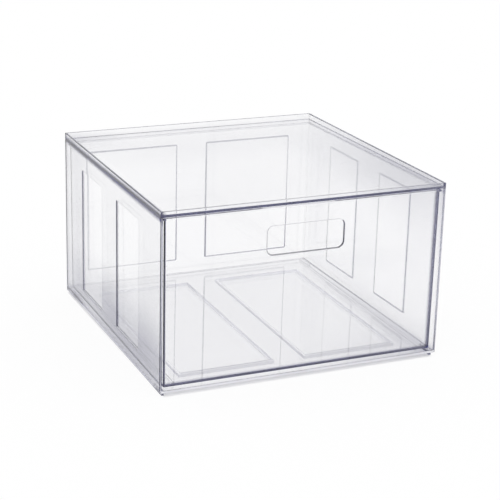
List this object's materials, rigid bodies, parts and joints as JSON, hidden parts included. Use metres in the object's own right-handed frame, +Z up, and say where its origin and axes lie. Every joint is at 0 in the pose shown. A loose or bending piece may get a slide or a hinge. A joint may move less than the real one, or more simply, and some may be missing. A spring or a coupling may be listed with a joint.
{
  "type": "stackable drawer box",
  "caption": "Clear moulded box with a full-width pull-out drawer, a finger slot in its front, and a raised rim and corner feet for stacking.",
  "frame": {"origin": "middle of the footprint, on the surface that the feet stand on", "axes": "+Z up; the open front and the drawer face -Y; +X to the right of someone who faces the drawer front"},
  "size_m": [0.305, 0.308, 0.1869],
  "materials": {
    "case_plastic": "clear, polished",
    "drawer_plastic": "clear, polished"
  },
  "bodies": {
    "case": {"outer_case": "case_plastic"},
    "drawer": {"drawer": "drawer_plastic"}
  },
  "joints": [
    {"name": "drawer_slide", "type": "slide", "parent": "case", "child": "drawer", "axis": [0, -1, 0], "range_m": [0, 0.26]}
  ]
}
